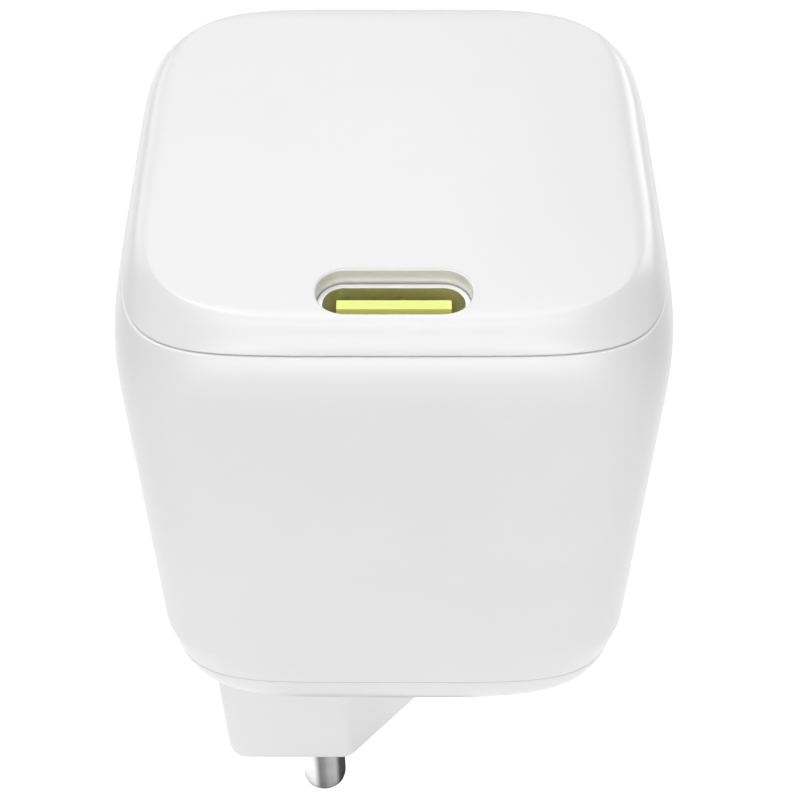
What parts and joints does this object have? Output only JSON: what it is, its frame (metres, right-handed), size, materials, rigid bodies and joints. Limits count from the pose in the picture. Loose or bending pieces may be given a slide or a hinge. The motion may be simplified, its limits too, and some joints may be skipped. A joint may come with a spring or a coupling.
{
  "type": "laptop power adapter",
  "caption": "Compact rounded-square USB-C wall charger in white plastic, with a two-pin mains plug set on the diagonal of its base.",
  "frame": {"origin": "centre of the plug's engagement face, midway between the two pins", "axes": "+Z from the plug up to the USB-C socket's face, -Y towards the side that the socket is nearest, +X to the right seen from that side"},
  "size_m": [0.035, 0.033, 0.0746],
  "materials": {
    "white_plastic": "satin, finely textured white",
    "pin_metal": "bright nickel plate",
    "sleeve_plastic": "black insulation",
    "contact_metal": "stamped strip",
    "port_steel": "nickel-plated sheet",
    "lime_plastic": "moulded lime",
    "gold_contact": "gold plate",
    "circuit_board": "green solder mask",
    "ferrite": "ground dark grey",
    "green_ferrite": "green coating",
    "black_plastic": "moulded black",
    "winding_tape": "yellow polyester tape",
    "copper_wire": "enamelled copper",
    "capacitor_sleeve": "dark blue shrink sleeve",
    "capacitor_can": "bare drawn can",
    "yellow_plastic": "moulded yellow box",
    "blue_ceramic": "dipped blue",
    "ivory_ceramic": "plain ivory",
    "grey_pad": "soft grey gap pad",
    "spreader_metal": "rolled sheet",
    "amber_film": "clear amber film"
  },
  "bodies": {
    "root": {"shell": "white_plastic", "top_cap": "white_plastic", "bottom_cap": "white_plastic", "front_pin": "pin_metal", "rear_pin": "pin_metal", "front_sleeve": "sleeve_plastic", "rear_sleeve": "sleeve_plastic", "front_contact": "contact_metal", "rear_contact": "contact_metal", "port_shell": "port_steel", "port_housing": "lime_plastic", "port_tongue": "lime_plastic", "port_contacts": "gold_contact", "main_board": "circuit_board", "output_board": "circuit_board", "core_lower": "ferrite", "core_upper": "ferrite", "bobbin": "black_plastic", "primary_winding": "winding_tape", "secondary_winding": "copper_wire", "bulk_capacitor_1": "capacitor_sleeve", "bulk_capacitor_2": "capacitor_sleeve", "x_capacitor": "yellow_plastic", "y_capacitor": "blue_ceramic", "supply_capacitor": "capacitor_sleeve", "choke_core": "green_ferrite", "choke_windings": "copper_wire", "choke_base": "black_plastic", "output_capacitor_1": "capacitor_can", "output_capacitor_2": "capacitor_can", "fuse": "ivory_ceramic", "bridge_rectifier": "black_plastic", "gan_switch": "black_plastic", "controller_chip": "black_plastic", "optocoupler": "black_plastic", "sync_rectifier": "black_plastic", "protocol_chip": "black_plastic", "thermal_pad": "grey_pad", "heat_spreader": "spreader_metal", "insulating_film": "amber_film"}
  },
  "joints": []
}
